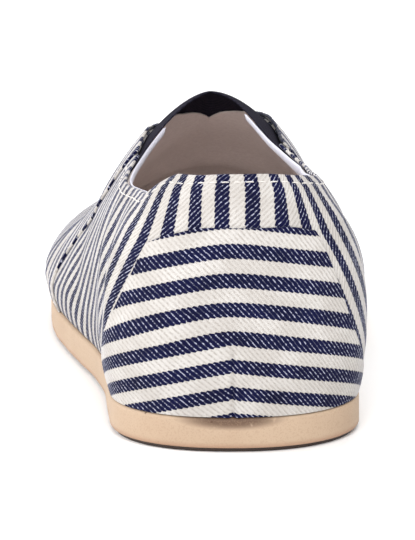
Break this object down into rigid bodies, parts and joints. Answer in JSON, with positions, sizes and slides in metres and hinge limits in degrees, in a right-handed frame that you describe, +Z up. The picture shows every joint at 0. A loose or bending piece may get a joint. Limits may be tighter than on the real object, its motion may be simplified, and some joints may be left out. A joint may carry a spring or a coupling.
{
  "type": "espadrille",
  "caption": "Slip-on canvas espadrille for a left foot, with striped upper, toe and heel panels, elastic throat insert and a smooth foam sole.",
  "frame": {"origin": "on the floor under the middle of the shoe's bounding box", "axes": "+Y towards the toe, +Z up, +X towards the inner side of the foot, so the outer side is at -X"},
  "size_m": [0.092, 0.2492, 0.0768],
  "materials": {
    "outsole_rubber": "matte",
    "sole_foam": "smooth matte",
    "lining": "brushed",
    "canvas": "striped twill",
    "elastic": "ribbed",
    "tape": "woven"
  },
  "bodies": {
    "root": {"outsole": "outsole_rubber", "midsole": "sole_foam", "insole": "lining", "upper": "canvas", "vamp": "canvas", "heel_counter": "canvas", "gore": "elastic", "tape_outer": "tape", "tape_inner": "tape"}
  },
  "joints": []
}
